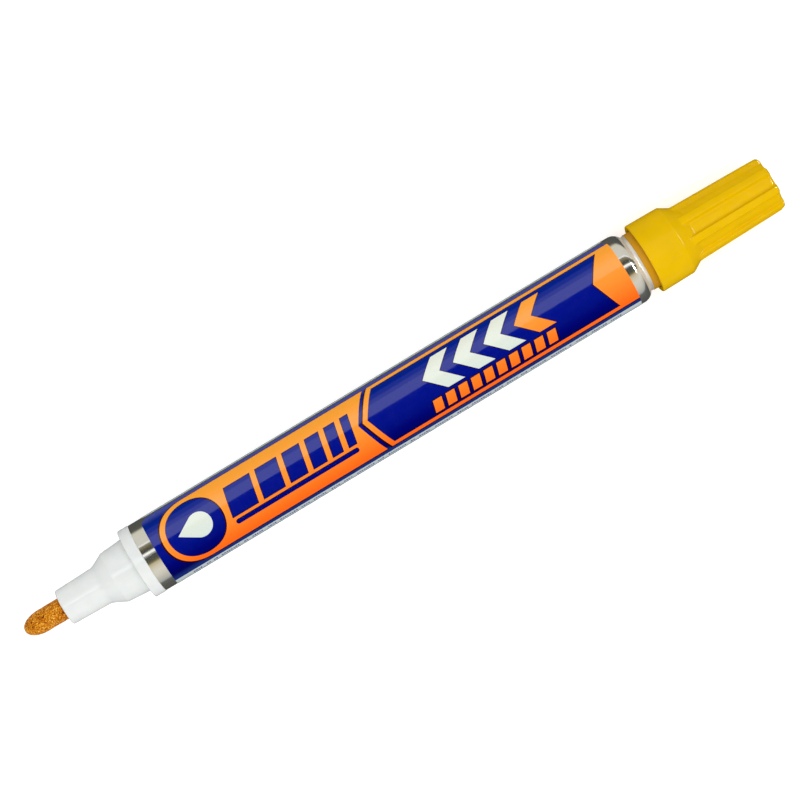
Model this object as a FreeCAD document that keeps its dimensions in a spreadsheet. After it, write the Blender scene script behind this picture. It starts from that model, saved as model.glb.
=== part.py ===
"""Valve-action paint marker with its cap posted on the tail.

Every piece is drawn about its own X axis, with X measured in millimetres from the nib's point
towards the cap. The pieces are then placed together: the pen lies on its side, +X towards the cap,
+Z up, with the origin on the surface it lies on, under the middle of its length.
"""

import FreeCAD, Part
import math
import os
import re

import Sketcher

DIMENSIONS = {
    # whole pen
    "penLength": 167.2,
    "restRadius": 7.3,
    # nib
    "nibRadius": 2.3,
    "noseLength": 4.15,
    "nibLength": 24.4,
    # front section
    "tipFace": 8.73,
    "tipRadius": 3.67,
    "tubeEnd": 17.18,
    "tubeEndRadius": 3.92,
    "coneEnd": 20.07,
    "frontBodyRadius": 5.38,
    "flangeStart": 24.97,
    "frontBodyEndRadius": 5.73,
    "flangeEnd": 27.38,
    "spigotRadius": 6.72,
    "spigotEnd": 39.8,
    "nibBoreRadius": 2.36,
    "nibBoreEnd": 21.8,
    "chamberRadius": 3.4,
    "seatStep": 29.8,
    "valveBoreRadius": 4.5,
    "inkSlotWidth": 0.8,
    "inkSlotReach": 2.85,
    "gasketGroove": 32.8,
    "gasketGrooveWidth": 1.2,
    "gasketGrooveRadius": 5.9,
    "tipEdgeRadius": 0.35,
    "tubeBlendRadius": 1.6,
    "bodyBlendRadius": 0.5,
    "flangeEdgeRadius": 0.25,
    # barrel
    "barrelRadius": 7.2,
    "barrelWall": 0.45,
    "shoulderStart": 134.7,
    "shoulderRadius": 2.4,
    "neckRadius": 5.92,
    "neckLipRadius": 5.97,
    "neckEnd": 137.45,
    "neckBlendRadius": 0.25,
    # label
    "labelStart": 30.0,
    "labelEnd": 133.85,
    "labelThickness": 0.05,
    "labelSeamAngle": 74.7,
    "labelSeamWidth": 8.7,
    # tail plug
    "plugFront": 132.8,
    "plugSpigotRadius": 5.45,
    "plugBoreRadius": 4.2,
    "plugBeadRadius": 5.9,
    "plugBeadStart": 134.4,
    "plugBeadTop": 135.2,
    "plugBeadEnd": 135.9,
    "plugFlangeRadius": 6.06,
    "plugFlangeEnd": 139.5,
    "bossRadius": 5.72,
    "bossEndRadius": 5.4,
    "bossEnd": 146.2,
    "plugEndWall": 1.1,
    "bossEdgeRadius": 0.5,
    # valve
    "seatEnd": 32.8,
    "seatHoleRadius": 1.6,
    "valveFitClearance": 0.03,
    "pinRadius": 1.2,
    "contactGap": 0.05,
    "sealRadius": 2.7,
    "sealThickness": 0.9,
    "headRadius": 2.9,
    "headThickness": 1.3,
    "rodRadius": 0.95,
    "rodEnd": 43.8,
    "cageInnerRadius": 3.6,
    "cageEnd": 44.3,
    "cageWall": 1.5,
    "cageHoleRadius": 1.05,
    "windowStart": 35.8,
    "windowEnd": 41.8,
    "windowWidth": 3.0,
    "springRadius": 2.05,
    "springWire": 0.5,
    "springPitch": 1.2,
    "springGap": 0.03,
    # gasket and mixing ball
    "gasketRingRadius": 6.31,
    "gasketCordRadius": 0.4,
    "ballRadius": 3.0,
    "ballPlace": 69.8,
    "ballDrop": 3.7,
    # cap
    "capRim": 138.75,
    "skirtEnd": 145.8,
    "skirtEndRadius": 7.19,
    "gripStart": 147.95,
    "gripRadius": 6.08,
    "gripEndRadius": 5.68,
    "panelDepth": 0.8,
    "panelStart": 149.35,
    "ridgeAngle": 17.0,
    "ridgeBuried": 0.9,
    "ridgeFootRadius": 4.5,
    "ridgeEndFootRadius": 4.05,
    "ridgeTurn": 18.75,
    "skirtBoreRadius": 6.2,
    "skirtBoreEnd": 146.5,
    "beadStart": 140.2,
    "beadTop": 141.0,
    "beadEnd": 141.8,
    "beadRadius": 5.79,
    "sealBoreRadius": 4.25,
    "sealBoreEnd": 159.4,
    "capBoreRadius": 3.9,
    "capEndWall": 1.3,
    "capEndEdgeRadius": 0.8,
    "rimEdgeRadius": 0.25,
    # cap's inner seal
    "sleeveStart": 147.0,
    "sleeveRadius": 4.2,
    "sleeveInnerRadius": 3.95,
    "sleeveLipRadius": 4.12,
    "sleeveLipLength": 0.8,
}

RIDGES = 8
CAGE_WINDOWS = 3
INK_SLOTS = 4
FAILED_STATES = ("Invalid", "Error")
TOUCHING = 0.001
START, END, CENTRE = 1, 2, 3
ORIGIN, AXIS = (-1, 1), -1


def make_sheet(doc):
    """The spreadsheet that holds the driving dimensions."""
    sheet = doc.addObject("Spreadsheet::Sheet", "Dims")
    for row, (alias, size) in enumerate(DIMENSIONS.items(), start=1):
        sheet.set(f"A{row}", alias)
        sheet.set(f"B{row}", str(size))
        sheet.setAlias(f"B{row}", alias)
    doc.recompute()


def bound(text):
    """The expression with each dimension's name made to point at the spreadsheet."""
    return re.sub(r"[A-Za-z]\w*", lambda name: "Dims." + name.group(), text)


def value(obj, text):
    """The present value of an expression in the dimensions."""
    return float(obj.evalExpression(bound(text)))


def make_body(doc, label, turn="0"):
    """A body named after its piece, placed in the lying pen and turned about the pen's axis."""
    body = doc.addObject("PartDesign::Body", label)
    body.Label = label
    body.Placement = FreeCAD.Placement(
        FreeCAD.Vector(), FreeCAD.Rotation(FreeCAD.Vector(1, 0, 0), value(body, turn))
    )
    body.setExpression("Placement.Base.x", bound("-penLength / 2"))
    body.setExpression("Placement.Base.z", bound("restRadius"))
    return body


def origin_part(body, role):
    """One of the body's own origin planes or axes."""
    return next(part for part in body.Origin.OriginFeatures if part.Role == role)


def make_sketch(body, name, plane):
    sketch = body.newObject("Sketcher::SketchObject", name)
    sketch.AttachmentSupport = (origin_part(body, plane), [""])
    sketch.MapMode = "FlatFace"
    return sketch


def bind_distance(sketch, kind, geometry, place, text):
    """Hold a point of the sketch at a bound distance from the sketch's origin."""
    index = sketch.addConstraint(
        Sketcher.Constraint(kind, *ORIGIN, geometry, place, value(sketch, text))
    )
    sketch.setExpression(f"Constraints[{index}]", bound(text))


def bind_point(sketch, geometry, place, across, out):
    """Bind a point's distance along the pen and out from its axis; None leaves one free."""
    if across is not None:
        bind_distance(sketch, "DistanceX", geometry, place, across)
    if out == "0":
        sketch.addConstraint(Sketcher.Constraint("PointOnObject", geometry, place, AXIS))
    elif out is not None:
        bind_distance(sketch, "DistanceY", geometry, place, out)


def corner_points(sketch, corners):
    """Where the corners lie; one that ends an arc is found from the arc's centre and radius."""
    points = []
    for index, corner in enumerate(corners):
        out = value(sketch, corner[1])
        if corner[0] is None:
            centre_x, centre_r = (value(sketch, text) for text in corners[index - 1][2:])
            radius = math.hypot(points[-1].x - centre_x, points[-1].y - centre_r)
            across = centre_x + math.sqrt(radius**2 - (out - centre_r) ** 2)
        else:
            across = value(sketch, corner[0])
        points.append(FreeCAD.Vector(across, out, 0))
    return points


def add_arc(sketch, start, end, centre):
    """Add the shorter arc between two corners; return its index and which end comes first."""
    first, last = start - centre, end - centre
    clockwise = first.cross(last).z < 0
    angles = [math.atan2(arm.y, arm.x) for arm in (first, last)]
    if clockwise:
        angles.reverse()
    circle = Part.Circle(centre, FreeCAD.Vector(0, 0, 1), first.Length)
    index = sketch.addGeometry(Part.ArcOfCircle(circle, *angles), False)
    return index, (END, START) if clockwise else (START, END)


def draw_outline(sketch, corners):
    """Draw a closed outline whose corners are bound to the spreadsheet.

    A corner is (x, r), followed by a straight edge, or (x, r, centre_x, centre_r), followed by an
    arc about that centre. The corner after an arc gives None for the x that the arc settles.
    """
    points = corner_points(sketch, corners)
    edges = []
    for index, corner in enumerate(corners):
        start, end = points[index], points[(index + 1) % len(points)]
        if len(corner) > 2:
            centre = FreeCAD.Vector(*(value(sketch, text) for text in corner[2:]), 0)
            edges.append(add_arc(sketch, start, end, centre))
        else:
            edges.append((sketch.addGeometry(Part.LineSegment(start, end), False), (START, END)))
    for index, corner in enumerate(corners):
        edge, (first, _) = edges[index]
        before, (_, last) = edges[index - 1]
        sketch.addConstraint(Sketcher.Constraint("Coincident", before, last, edge, first))
        bind_point(sketch, edge, first, corner[0], corner[1])
        if len(corner) > 2:
            bind_point(sketch, edge, CENTRE, corner[2], corner[3])


def revolve(body, name, corners, angle=None):
    """Turn an outline in the XZ plane about the pen's axis, all round or by a bound angle."""
    sketch = make_sketch(body, name + "_outline", "XZ_Plane")
    draw_outline(sketch, corners)
    turned = body.newObject("PartDesign::Revolution", name)
    turned.Profile = sketch
    turned.ReferenceAxis = (sketch, ["H_Axis"])
    turned.Angle = 360
    if angle is not None:
        turned.Midplane = True
        turned.setExpression("Angle", bound(angle))
    body.Document.recompute()
    return turned


def cut_slots(body, name, start, end, half_width, reach, count):
    """Cut slots from the axis outwards, evenly spaced round it, and check that each one cuts."""
    sketch = make_sketch(body, name + "_outline", "XY_Plane")
    across = [value(sketch, text) for text in (start, end)]
    half = value(sketch, half_width)
    low, high = FreeCAD.Vector(across[0], -half, 0), FreeCAD.Vector(across[1], half, 0)
    corners = [low, FreeCAD.Vector(high.x, low.y, 0), high, FreeCAD.Vector(low.x, high.y, 0)]
    for index, corner in enumerate(corners):
        sketch.addGeometry(Part.LineSegment(corner, corners[(index + 1) % 4]), False)
    for index in range(4):
        joined = Sketcher.Constraint("Coincident", index, END, (index + 1) % 4, START)
        sketch.addConstraint(joined)
    for side in (0, 2):
        sketch.addConstraint(Sketcher.Constraint("Horizontal", side))
    sketch.addConstraint(Sketcher.Constraint("Vertical", 3))
    bind_distance(sketch, "DistanceX", 0, START, start)
    bind_distance(sketch, "DistanceX", 0, END, end)
    sketch.addConstraint(Sketcher.Constraint("Symmetric", 1, START, 1, END, AXIS))
    width = sketch.addConstraint(Sketcher.Constraint("Distance", 1, 2 * half))
    sketch.setExpression(f"Constraints[{width}]", bound(f"2 * ({half_width})"))
    whole = body.Tip.Shape.Volume
    slot = body.newObject("PartDesign::Pocket", name)
    slot.Profile = sketch
    slot.setExpression("Length", bound(reach))
    body.Document.recompute()
    one_cut = whole - slot.Shape.Volume
    repeat_round(body, slot, count)
    if one_cut <= 0 or not math.isclose(whole - body.Shape.Volume, count * one_cut, rel_tol=0.01):
        raise ValueError(f"{name} cuts {one_cut:.3f} mm3 where it should cut the wall")


def repeat_round(body, feature, count):
    """Repeat a feature round the pen's axis."""
    pattern = body.newObject("PartDesign::PolarPattern", feature.Name + "_ring")
    pattern.Originals = [feature]
    pattern.Axis = (origin_part(body, "X_Axis"), [""])
    pattern.Angle = 360
    pattern.Occurrences = count
    body.Tip = pattern
    body.Document.recompute()


def rim_edges(feature, rims):
    """Names of the circular edges round the axis at the given (x, radius) places."""
    names = []
    for across, out in ((value(feature, x), value(feature, r)) for x, r in rims):
        for index, edge in enumerate(feature.Shape.Edges, start=1):
            curve = edge.Curve
            if not isinstance(curve, Part.Circle) or abs(curve.Axis.x) < 0.99:
                continue
            if abs(curve.Center.x - across) < TOUCHING and abs(curve.Radius - out) < TOUCHING:
                names.append(f"Edge{index}")
    return names


def round_edges(body, name, edges, radius):
    """Round the named edges of the body's last feature."""
    if not edges:
        raise ValueError(f"{name} found no edges")
    fillet = body.newObject("PartDesign::Fillet", name)
    fillet.Base = (fillet.BaseFeature, edges)
    fillet.setExpression("Radius", bound(radius))
    body.Document.recompute()


def round_rims(body, name, rims, radius):
    """Round circular edges of the body's last feature."""
    round_edges(body, name, rim_edges(body.Tip, rims), radius)


def make_nib(doc):
    """Bullet nib: a half ellipsoid nose on a round rod."""
    body = make_body(doc, "nib")
    plane = origin_part(body, "YZ_Plane")
    rod = body.newObject("PartDesign::AdditiveCylinder", "nib_rod")
    nose = body.newObject("PartDesign::AdditiveEllipsoid", "nib_nose")
    for feature in (rod, nose):
        feature.AttachmentSupport = (plane, [""])
        feature.MapMode = "FlatFace"
        feature.setExpression("AttachmentOffset.Base.z", bound("noseLength"))
    rod.setExpression("Radius", bound("nibRadius"))
    rod.setExpression("Height", bound("nibLength - noseLength"))
    nose.setExpression("Radius1", bound("noseLength"))
    nose.setExpression("Radius2", bound("nibRadius"))
    nose.setExpression("Radius3", bound("nibRadius"))
    nose.Angle1 = -90
    nose.Angle2 = 0
    nose.Angle3 = 360
    doc.recompute()
    return body


def make_front_section(doc):
    """Nib holder: tube, cone, body and flange, with a spigot that plugs into the barrel."""
    body = make_body(doc, "front_section")
    groove_end = "gasketGroove + gasketGrooveWidth"
    corners = [
        ("tipFace", "nibBoreRadius"),
        ("tipFace", "tipRadius"),
        ("tubeEnd", "tubeEndRadius"),
        ("coneEnd", "frontBodyRadius"),
        ("flangeStart", "frontBodyEndRadius"),
        ("flangeStart", "restRadius"),
        ("flangeEnd", "restRadius"),
        ("flangeEnd", "spigotRadius"),
        ("gasketGroove", "spigotRadius"),
        ("gasketGroove", "gasketGrooveRadius"),
        (groove_end, "gasketGrooveRadius"),
        (groove_end, "spigotRadius"),
        ("spigotEnd", "spigotRadius"),
        ("spigotEnd", "valveBoreRadius"),
        ("seatStep", "valveBoreRadius"),
        ("seatStep", "chamberRadius"),
        ("nibBoreEnd", "chamberRadius"),
        ("nibBoreEnd", "nibBoreRadius"),
    ]
    revolve(body, "holder", corners)
    round_rims(body, "tube_blend", [("tubeEnd", "tubeEndRadius")], "tubeBlendRadius")
    round_rims(body, "body_blend", [("coneEnd", "frontBodyRadius")], "bodyBlendRadius")
    round_rims(body, "tip_edge", [("tipFace", "tipRadius")], "tipEdgeRadius")
    flange_rims = [("flangeStart", "restRadius"), ("flangeEnd", "restRadius")]
    round_rims(body, "flange_edge", flange_rims, "flangeEdgeRadius")
    cut_slots(
        body, "ink_slot", "tipFace + nibRadius", "nibBoreEnd + nibRadius", "inkSlotWidth / 2",
        "inkSlotReach", INK_SLOTS,
    )
    return body


def make_front_gasket(doc):
    """Round-section ring in the spigot's groove, against the barrel's wall."""
    ring = doc.addObject("Part::Torus", "front_gasket")
    ring.Label = "front_gasket"
    ring.setExpression("Radius1", bound("gasketRingRadius"))
    ring.setExpression("Radius2", bound("gasketCordRadius"))
    ring.Placement = FreeCAD.Placement(
        FreeCAD.Vector(), FreeCAD.Rotation(FreeCAD.Vector(0, 0, 1), FreeCAD.Vector(1, 0, 0))
    )
    middle = "gasketGroove + gasketGrooveWidth / 2 - penLength / 2"
    ring.setExpression("Placement.Base.x", bound(middle))
    ring.setExpression("Placement.Base.z", bound("restRadius"))
    return ring


def make_barrel(doc):
    """Drawn tube with a rounded shoulder and a short neck at the tail."""
    body = make_body(doc, "barrel")
    centre = ("shoulderStart", "barrelRadius - shoulderRadius")
    corners = [
        ("flangeEnd", "0"),
        ("flangeEnd", "barrelRadius"),
        ("shoulderStart", "barrelRadius", *centre),
        (None, "neckRadius"),
        ("neckEnd", "neckLipRadius"),
        ("neckEnd", "0"),
    ]
    revolve(body, "tube", corners)
    neck_radius = value(body, "neckRadius")
    neck_foot = [
        f"Edge{index}"
        for index, edge in enumerate(body.Tip.Shape.Edges, start=1)
        if isinstance(edge.Curve, Part.Circle) and abs(edge.Curve.Radius - neck_radius) < TOUCHING
    ]
    round_edges(body, "neck_blend", neck_foot, "neckBlendRadius")
    hollow = body.newObject("PartDesign::Thickness", "tube_hollow")
    hollow.Base = (hollow.BaseFeature, end_faces(hollow.BaseFeature))
    hollow.Reversed = True
    hollow.setExpression("Value", bound("barrelWall"))
    doc.recompute()
    return body


def end_faces(feature):
    """Names of the flat faces that close a turned solid's two ends."""
    box = feature.Shape.BoundBox
    return [
        f"Face{index}"
        for index, face in enumerate(feature.Shape.Faces, start=1)
        if isinstance(face.Surface, Part.Plane)
        and min(abs(face.CenterOfMass.x - end) for end in (box.XMin, box.XMax)) < TOUCHING
    ]


def make_label(doc):
    """Thin wrap label with a narrow open seam."""
    body = make_body(doc, "barrel_label", turn="180 - labelSeamAngle")
    outside = "barrelRadius + labelThickness"
    corners = [
        ("labelStart", "barrelRadius"),
        ("labelStart", outside),
        ("labelEnd", outside),
        ("labelEnd", "barrelRadius"),
    ]
    revolve(body, "wrap", corners, angle="360 - labelSeamWidth")
    return body


def make_tail_plug(doc):
    """Plug that closes the barrel's neck; its boss carries the posted cap."""
    body = make_body(doc, "tail_plug")
    corners = [
        ("plugFront", "plugBoreRadius"),
        ("plugFront", "plugSpigotRadius"),
        ("plugBeadStart", "plugSpigotRadius"),
        ("plugBeadTop", "plugBeadRadius"),
        ("plugBeadEnd", "plugSpigotRadius"),
        ("neckEnd", "plugSpigotRadius"),
        ("neckEnd", "plugFlangeRadius"),
        ("plugFlangeEnd", "plugFlangeRadius"),
        ("plugFlangeEnd", "bossRadius"),
        ("bossEnd", "bossEndRadius"),
        ("bossEnd", "0"),
        ("bossEnd - plugEndWall", "0"),
        ("bossEnd - plugEndWall", "plugBoreRadius"),
    ]
    revolve(body, "plug", corners)
    round_rims(body, "boss_edge", [("bossEnd", "bossEndRadius")], "bossEdgeRadius")
    return body


def make_ring(doc, label, start, end, inner, outer):
    """A plain ring or, with an inner radius of 0, a plain disc or rod."""
    body = make_body(doc, label)
    revolve(body, label + "_ring", [(start, inner), (start, outer), (end, outer), (end, inner)])
    return body


def make_valve_stem(doc):
    """Pin that the nib pushes, a head behind the seat, and a rod that guides the spring."""
    body = make_body(doc, "valve_stem")
    front = "nibLength + contactGap"
    head = "seatEnd + contactGap + sealThickness"
    corners = [
        (front, "0"),
        (front, "pinRadius"),
        (head, "pinRadius"),
        (head, "headRadius"),
        (f"{head} + headThickness", "headRadius"),
        (f"{head} + headThickness", "rodRadius"),
        ("rodEnd", "rodRadius"),
        ("rodEnd", "0"),
    ]
    revolve(body, "stem", corners)
    return body


def make_spring_cage(doc):
    """Cup that holds the spring against the stem, with windows that let the paint through."""
    body = make_body(doc, "spring_cage")
    outer = "valveBoreRadius - valveFitClearance"
    corners = [
        ("seatEnd", "cageInnerRadius"),
        ("seatEnd", outer),
        ("cageEnd", outer),
        ("cageEnd", "cageHoleRadius"),
        ("cageEnd - cageWall", "cageHoleRadius"),
        ("cageEnd - cageWall", "cageInnerRadius"),
    ]
    revolve(body, "cup", corners)
    cut_slots(
        body, "window", "windowStart", "windowEnd", "windowWidth / 2", "valveBoreRadius",
        CAGE_WINDOWS,
    )
    return body


def make_valve_spring(doc):
    """Open-coiled compression spring between the stem's head and the cage's end wall."""
    body = make_body(doc, "valve_spring")
    first_coil = "seatEnd + contactGap + sealThickness + headThickness + springGap + springWire / 2"
    last_coil = "cageEnd - cageWall - springGap - springWire / 2"
    sketch = make_sketch(body, "wire_section", "XZ_Plane")
    centre = FreeCAD.Vector(value(sketch, first_coil), value(sketch, "springRadius"), 0)
    wire = value(sketch, "springWire / 2")
    sketch.addGeometry(Part.Circle(centre, FreeCAD.Vector(0, 0, 1), wire), False)
    bind_point(sketch, 0, CENTRE, first_coil, "springRadius")
    radius = sketch.addConstraint(Sketcher.Constraint("Radius", 0, wire))
    sketch.setExpression(f"Constraints[{radius}]", bound("springWire / 2"))
    doc.recompute()
    coil = body.newObject("PartDesign::AdditiveHelix", "coil")
    coil.Profile = sketch
    coil.ReferenceAxis = (sketch, ["H_Axis"])
    coil.Mode = "pitch-height-angle"
    coil.setExpression("Pitch", bound("springPitch"))
    coil.setExpression("Height", bound(f"{last_coil} - ({first_coil})"))
    doc.recompute()
    return body


def make_mixing_ball(doc):
    """Steel ball that lies in the reservoir and stirs the paint when the pen is shaken."""
    ball = doc.addObject("Part::Sphere", "mixing_ball")
    ball.Label = "mixing_ball"
    ball.setExpression("Radius", bound("ballRadius"))
    ball.setExpression("Placement.Base.x", bound("ballPlace - penLength / 2"))
    ball.setExpression("Placement.Base.z", bound("restRadius - ballDrop"))
    return ball


def rounded_end(radius):
    """Outline corners of the cap's rounded end, where its surface comes in at the given radius."""
    centre = ("penLength - capEndEdgeRadius", f"{radius} - capEndEdgeRadius")
    return [(centre[0], radius, *centre), (None, centre[1])]


def make_cap_shell(doc):
    """Cap with a skirt, a cone and a grip with raised ridges, hollow for the nib."""
    body = make_body(doc, "cap_shell", turn="ridgeTurn")
    corners = [
        ("capRim", "skirtBoreRadius"),
        ("capRim", "restRadius"),
        ("skirtEnd", "skirtEndRadius"),
        ("panelStart", "gripRadius - panelDepth"),
        *rounded_end("gripEndRadius - panelDepth"),
        ("penLength", "0"),
        ("penLength - capEndWall", "0"),
        ("penLength - capEndWall", "capBoreRadius"),
        ("sealBoreEnd", "capBoreRadius"),
        ("sealBoreEnd", "sealBoreRadius"),
        ("skirtBoreEnd", "sealBoreRadius"),
        ("skirtBoreEnd", "skirtBoreRadius"),
        ("beadEnd", "skirtBoreRadius"),
        ("beadTop", "beadRadius"),
        ("beadStart", "skirtBoreRadius"),
    ]
    revolve(body, "shell", corners)
    smooth_volume = body.Shape.Volume
    ridge_corners = [
        ("gripStart - ridgeBuried", "ridgeFootRadius"),
        ("gripStart - ridgeBuried", "gripRadius"),
        *rounded_end("gripEndRadius"),
        ("penLength", "ridgeEndFootRadius"),
        ("sealBoreEnd + capEndWall", "ridgeEndFootRadius"),
        ("sealBoreEnd + capEndWall", "ridgeFootRadius"),
    ]
    ridge = revolve(body, "ridge", ridge_corners, angle="ridgeAngle")
    repeat_round(body, ridge, RIDGES)
    if body.Shape.Volume <= smooth_volume:
        raise ValueError("the ridges add nothing to the grip")
    rims = [("capRim", "restRadius"), ("skirtEnd", "skirtEndRadius")]
    round_rims(body, "rim_edge", rims, "rimEdgeRadius")
    return body


def make_cap_inner_seal(doc):
    """Soft sleeve that closes round the nib's tube, with a flared mouth."""
    body = make_body(doc, "cap_inner_seal")
    corners = [
        ("sleeveStart", "sleeveLipRadius"),
        ("sleeveStart", "sleeveRadius"),
        ("sealBoreEnd", "sleeveRadius"),
        ("sealBoreEnd", "sleeveInnerRadius"),
        ("sleeveStart + sleeveLipLength", "sleeveInnerRadius"),
    ]
    revolve(body, "sleeve", corners)
    return body


def check_document(doc, pieces):
    """Stop if any object failed or any piece is empty or not one valid solid."""
    failed = [obj.Name for obj in doc.Objects if any(state in obj.State for state in FAILED_STATES)]
    for piece in pieces:
        if piece.Shape.isNull() or not piece.Shape.isValid() or len(piece.Shape.Solids) != 1:
            failed.append(piece.Label)
    if failed:
        raise RuntimeError("failed objects: " + ", ".join(failed))


def export(pieces):
    os.makedirs("parts", exist_ok=True)
    for piece in pieces:
        piece.Shape.exportStep(f"parts/{piece.Label}.step")
        print(f"{piece.Label}: {piece.Shape.Volume:.1f} mm3, {piece.Shape.BoundBox}")


def main():
    doc = FreeCAD.newDocument("paint_marker")
    make_sheet(doc)
    seal_start = "seatEnd + contactGap"
    pieces = [
        make_nib(doc),
        make_front_section(doc),
        make_front_gasket(doc),
        make_ring(
            doc, "valve_seat", "seatStep", "seatEnd", "seatHoleRadius",
            "valveBoreRadius - valveFitClearance",
        ),
        make_valve_stem(doc),
        make_ring(
            doc, "valve_seal", seal_start, f"{seal_start} + sealThickness", "pinRadius",
            "sealRadius",
        ),
        make_valve_spring(doc),
        make_spring_cage(doc),
        make_barrel(doc),
        make_label(doc),
        make_mixing_ball(doc),
        make_tail_plug(doc),
        make_cap_shell(doc),
        make_cap_inner_seal(doc),
    ]
    doc.recompute()
    check_document(doc, pieces)
    export(pieces)


main()
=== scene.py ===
"""Looks of a paint marker lying on a pale floor, its cap posted on the tail.

Lengths named in millimetres are turned into metres by MM. The pen lies along X, nib at the low end.
"""

import math
import random

import bmesh
import bpy
import numpy as np
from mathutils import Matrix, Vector, geometry, noise


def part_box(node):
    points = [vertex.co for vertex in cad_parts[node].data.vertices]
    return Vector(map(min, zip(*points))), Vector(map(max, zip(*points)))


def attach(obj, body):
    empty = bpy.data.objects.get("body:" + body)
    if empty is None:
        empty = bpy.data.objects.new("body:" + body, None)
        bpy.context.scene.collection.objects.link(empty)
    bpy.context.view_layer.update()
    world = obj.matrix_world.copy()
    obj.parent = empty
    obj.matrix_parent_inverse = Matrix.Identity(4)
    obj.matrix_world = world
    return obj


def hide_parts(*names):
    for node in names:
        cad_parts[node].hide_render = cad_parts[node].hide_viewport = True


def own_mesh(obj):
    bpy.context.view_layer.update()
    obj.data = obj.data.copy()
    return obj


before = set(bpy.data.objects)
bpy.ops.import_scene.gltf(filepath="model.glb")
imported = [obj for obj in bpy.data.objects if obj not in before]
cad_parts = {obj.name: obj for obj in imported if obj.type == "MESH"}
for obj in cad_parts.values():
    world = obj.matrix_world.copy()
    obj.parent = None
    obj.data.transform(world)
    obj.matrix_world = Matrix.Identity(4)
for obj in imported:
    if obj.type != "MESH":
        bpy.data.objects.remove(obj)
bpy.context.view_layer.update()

MM = 0.001
NIB_LOW, NIB_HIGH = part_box("nib")
AXIS_Z = (NIB_LOW.z + NIB_HIGH.z) / 2
TURNED_ROUGHNESS = 0.5
TURNED_METALLIC = 0.7


def linear(red, green, blue):
    """Linear colour, with alpha, of an 8-bit display colour."""
    def channel(level):
        share = level / 255
        return share / 12.92 if share <= 0.04045 else ((share + 0.055) / 1.055) ** 2.4
    return (channel(red), channel(green), channel(blue), 1.0)


# ---------------------------------------------------------------- shader helpers


class Surface:
    """A Principled material with short ways to add the detail that its nodes make."""

    def __init__(self, name, **values):
        self.material = bpy.data.materials.new(name)
        self.material.use_nodes = True
        self.nodes = self.material.node_tree.nodes
        self.links = self.material.node_tree.links
        self.shader = self.nodes["Principled BSDF"]
        for socket, value in values.items():
            self.shader.inputs[socket.replace("_", " ")].default_value = value
        self.place = self.nodes.new("ShaderNodeTexCoord").outputs["Object"]

    def noise(self, scale, detail=4.0, roughness=0.55, stretch=(1, 1, 1)):
        """Noise whose scale is in waves per metre, stretched by dividing it along each axis."""
        mapping = self.nodes.new("ShaderNodeMapping")
        mapping.inputs["Scale"].default_value = [scale / share for share in stretch]
        texture = self.nodes.new("ShaderNodeTexNoise")
        texture.inputs["Scale"].default_value = 1.0
        texture.inputs["Detail"].default_value = detail
        texture.inputs["Roughness"].default_value = roughness
        self.links.new(self.place, mapping.inputs["Vector"])
        self.links.new(mapping.outputs["Vector"], texture.inputs["Vector"])
        return texture.outputs["Fac"]

    def ramp(self, factor, stops):
        """Colours picked by a factor; a stop is (place, colour)."""
        ramp = self.nodes.new("ShaderNodeValToRGB")
        elements = ramp.color_ramp.elements
        while len(elements) < len(stops):
            elements.new(0.5)
        for element, (place, colour) in zip(elements, stops):
            element.position = place
            element.color = colour
        self.links.new(factor, ramp.inputs["Fac"])
        return ramp.outputs["Color"]

    def span(self, factor, low, high, start=0.3, end=0.7):
        """A factor mapped onto the numbers from low to high."""
        node = self.nodes.new("ShaderNodeMapRange")
        node.inputs["From Min"].default_value = start
        node.inputs["From Max"].default_value = end
        node.inputs["To Min"].default_value = low
        node.inputs["To Max"].default_value = high
        self.links.new(factor, node.inputs["Value"])
        return node.outputs["Result"]

    def math(self, operation, first, second):
        node = self.nodes.new("ShaderNodeMath")
        node.operation = operation
        for socket, value in zip(node.inputs, (first, second)):
            if isinstance(value, (int, float)):
                socket.default_value = value
            else:
                self.links.new(value, socket)
        return node.outputs["Value"]

    def colour(self, output):
        self.links.new(output, self.shader.inputs["Base Color"])
        return self

    def roughness(self, output):
        self.links.new(output, self.shader.inputs["Roughness"])
        return self

    def bump(self, height, depth):
        """Raise the surface by depth metres where the height is 1."""
        node = self.nodes.new("ShaderNodeBump")
        node.inputs["Distance"].default_value = depth
        self.links.new(height, node.inputs["Height"])
        previous = self.shader.inputs["Normal"].links
        if previous:
            self.links.new(previous[0].from_socket, node.inputs["Normal"])
        self.links.new(node.outputs["Normal"], self.shader.inputs["Normal"])
        return self


def shades(colour, low, high):
    """Two stops: the colour made darker and lighter by the given shares."""
    dark = [channel * low for channel in colour[:3]] + [1.0]
    light = [min(1.0, channel * high) for channel in colour[:3]] + [1.0]
    return [(0.3, dark), (0.7, light)]


def moulded_plastic(name, colour, roughness, grain, subsurface=0.0):
    """Moulded plastic: faint cloudiness, a fine grain and soft flow waves."""
    look = Surface(name, Roughness=roughness, Subsurface_Weight=subsurface)
    look.shader.inputs["Subsurface Radius"].default_value = (1.0, 0.6, 0.3)
    look.shader.inputs["Subsurface Scale"].default_value = 0.6 * MM
    cloud = look.noise(260, detail=3)
    look.colour(look.ramp(cloud, shades(colour, 0.965, 1.03)))
    look.roughness(look.span(look.noise(900, detail=5), roughness - 0.05, roughness + 0.07))
    look.bump(look.noise(9000, detail=2), grain)
    look.bump(look.noise(350, detail=1), grain * 4)
    return look.material


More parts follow.
